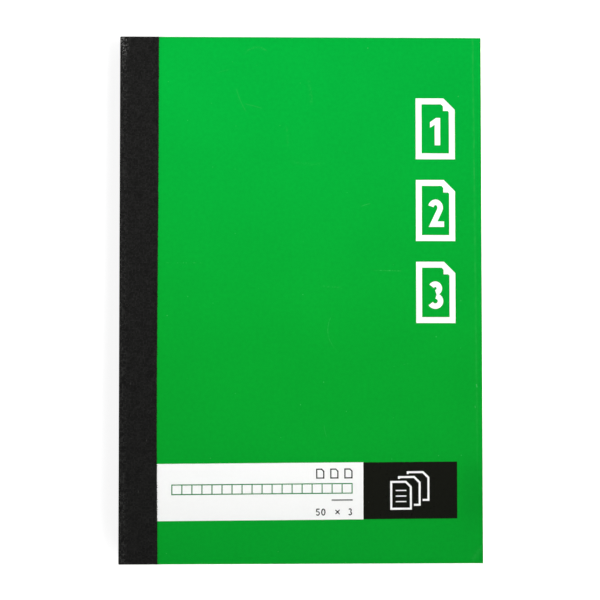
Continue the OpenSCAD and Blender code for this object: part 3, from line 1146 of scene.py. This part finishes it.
class BOOK_OT_leaf_sections(bpy.types.Operator):
    """The other sets, in sections, one piece for each copy of a section"""
    bl_idname = "invoice_book.leaf_sections"
    bl_label = "Leaf sections"

    def execute(self, context):
        slip = context.scene.book_sizes.leaf_slip
        colours = context.scene.book_colours
        xs = places(X_STUB + slip, *LEAF_LEGS)
        ys = places(Y_TAIL + slip, (Y_HEAD - slip, 4))
        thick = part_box("triplicate_01")[1].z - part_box("triplicate_01")[0].z
        seed = context.scene.book_stage.seed
        rng = random.Random(seed)
        for section in SECTIONS:
            first, last = (int(number) for number in section.split("_"))
            leaves = last - first + 1
            shade = rng.uniform(0.0, 0.4)
            for copy in PAPER_SLOTS:
                plain, form = copy_papers(colours, copy)
                node = f"{copy}s_{section}"
                low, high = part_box(node)
                rise = (high.z - low.z - thick) / (leaves - 1)
                seed += 1
                stack = add_piece(node + "_leaves", plate(xs, ys, low.z, low.z + thick), [plain])
                grow(stack, leaf_stack, leaves=leaves, rise=rise, slip=slip, shade=shade, seed=seed,
                     paper=plain, form=form)
                nodes = [node] + (["stubs_" + section] if copy == "original" else [])
                hand_over(stack, PAPER_SLOTS[copy], nodes, "sets_" + section, X_PERF)
        return {"FINISHED"}


class BOOK_OT_stage(bpy.types.Operator):
    """Pale floor, soft studio light and the camera above the book"""
    bl_idname = "invoice_book.stage"
    bl_label = "Stage"

    def floor(self):
        """Wide pale floor with the book's soft shadow, which falls away to leave the turned cover room."""
        reach = 3.0
        level = TAPE_LOW.z - 0.02 * MM
        groove = level - 2.2 * MM
        sunk = level - 7 * MM
        turned = 2 * X_FOLD - X_FORE - 20 * MM
        section = ((reach, level), (X_FOLD + 5.0 * MM, level), (X_FOLD + 2.5 * MM, groove), (X_SPINE, groove),
                   (turned, sunk), (-reach, sunk))
        shell = bmesh.new()
        near, far = [[shell.verts.new((x, y, z)) for x, z in section] for y in (-reach, reach)]
        for n in range(len(section) - 1):
            shell.faces.new((near[n + 1], near[n], far[n], far[n + 1]))
        material = new_material("floor_paper", roughness=1.0, specular_ior_level=0.0,
                                base_color=(0.55, 0.55, 0.55), emission_color=(1.0, 1.0, 1.0))
        # Only rays that show the background see the glow: straight, mirrored or through glass.
        rays = add_node(material.node_tree, "ShaderNodeLightPath").outputs
        kinds = ("Camera", "Glossy", "Transmission")
        straight, mirrored, through = [Flow(rays[f"Is {kind} Ray"]) for kind in kinds]
        surface(material, emission_strength=straight.max(mirrored).max(through) * 0.77)
        add_piece("studio_floor", shell, [material])

    def world(self, ceiling):
        """White backdrop all round, which also fills the shadows, under a dim ceiling."""
        world = bpy.data.worlds.new("studio")
        world.use_nodes = True
        world.node_tree.nodes.clear()
        up = source(world.node_tree, "ShaderNodeTexCoord", "Generated").axes()[2]
        inputs = {"Strength": up.ramp(0.50, 0.80, 1.0, ceiling), "Color": (1.0, 1.0, 1.0)}
        backdrop = up.node("ShaderNodeBackground", inputs)
        add_node(world.node_tree, "ShaderNodeOutputWorld", {"Surface": backdrop})
        bpy.context.scene.world = world

    def lamp(self, name, place, aim, size, power, beam):
        """One softbox that looks at a point and leaves no mirror image on the varnish."""
        light = bpy.data.lights.new(name, "AREA")
        light.shape = "RECTANGLE"
        light.size, light.size_y = size
        light.energy = power
        light.spread = beam
        lamp = bpy.data.objects.new(name, light)
        lamp.location = place
        lamp.rotation_euler = (Vector(aim) - Vector(place)).to_track_quat("-Z", "Y").to_euler()
        lamp.visible_camera = False
        lamp.visible_glossy = False
        bpy.context.scene.collection.objects.link(lamp)

    def execute(self, context):
        scene = context.scene
        stage = scene.book_stage
        self.floor()
        self.world(stage.ceiling)
        self.lamp("key_softbox", place=(0.400, -0.079, 0.747), aim=(-0.101, 0.185, 0.0), size=(0.4, 0.4),
                  power=stage.key_power, beam=stage.key_beam)
        self.lamp("fill_softbox", place=(0.75, -0.95, 0.55), aim=(0.0, 0.0, 0.0), size=(1.0, 0.6),
                  power=stage.fill_power, beam=math.pi)
        camera = bpy.data.objects.new("photo_camera", bpy.data.cameras.new("photo_camera"))
        camera.data.sensor_width = 36.0
        camera.data.lens = stage.lens
        camera.data.clip_start = 0.01
        camera.location = stage.camera_place
        camera.rotation_euler = stage.camera_turn
        scene.collection.objects.link(camera)
        scene.camera = camera
        scene.view_settings.view_transform = "Standard"
        return {"FINISHED"}


class BOOK_PT_panel(bpy.types.Panel):
    """Sizes, colours, light and makers of the invoice book"""
    bl_idname = "BOOK_PT_panel"
    bl_label = "Invoice Book"
    bl_space_type = "VIEW_3D"
    bl_region_type = "UI"
    bl_category = "Invoice Book"

    def draw(self, context):
        for operator in OPERATORS:
            self.layout.operator(operator.bl_idname)
        for group in (context.scene.book_sizes, context.scene.book_colours, context.scene.book_stage):
            box = self.layout.box()
            for key in group.bl_rna.properties.keys():
                if key not in ("rna_type", "name"):
                    box.prop(group, key)


GROUPS = {"book_sizes": BookSizes, "book_colours": BookColours, "book_stage": BookStage}
OPERATORS = (BOOK_OT_front_cover, BOOK_OT_cover_print, BOOK_OT_spine_tape, BOOK_OT_back_cover,
             BOOK_OT_binding, BOOK_OT_first_set, BOOK_OT_carbon_sheets, BOOK_OT_leaf_sections, BOOK_OT_stage)


def register():
    for item in (*GROUPS.values(), *OPERATORS, BOOK_PT_panel):
        bpy.utils.register_class(item)
    for name, group in GROUPS.items():
        setattr(bpy.types.Scene, name, PointerProperty(type=group))


def unregister():
    for name in GROUPS:
        delattr(bpy.types.Scene, name)
    for item in (BOOK_PT_panel, *reversed(OPERATORS), *reversed(GROUPS.values())):
        bpy.utils.unregister_class(item)


def main():
    register()
    bpy.ops.invoice_book.front_cover()
    bpy.ops.invoice_book.cover_print()
    bpy.ops.invoice_book.spine_tape()
    bpy.ops.invoice_book.back_cover()
    bpy.ops.invoice_book.binding()
    bpy.ops.invoice_book.first_set()
    bpy.ops.invoice_book.carbon_sheets()
    bpy.ops.invoice_book.leaf_sections()
    bpy.ops.invoice_book.stage()


if __name__ == "__main__":
    main()
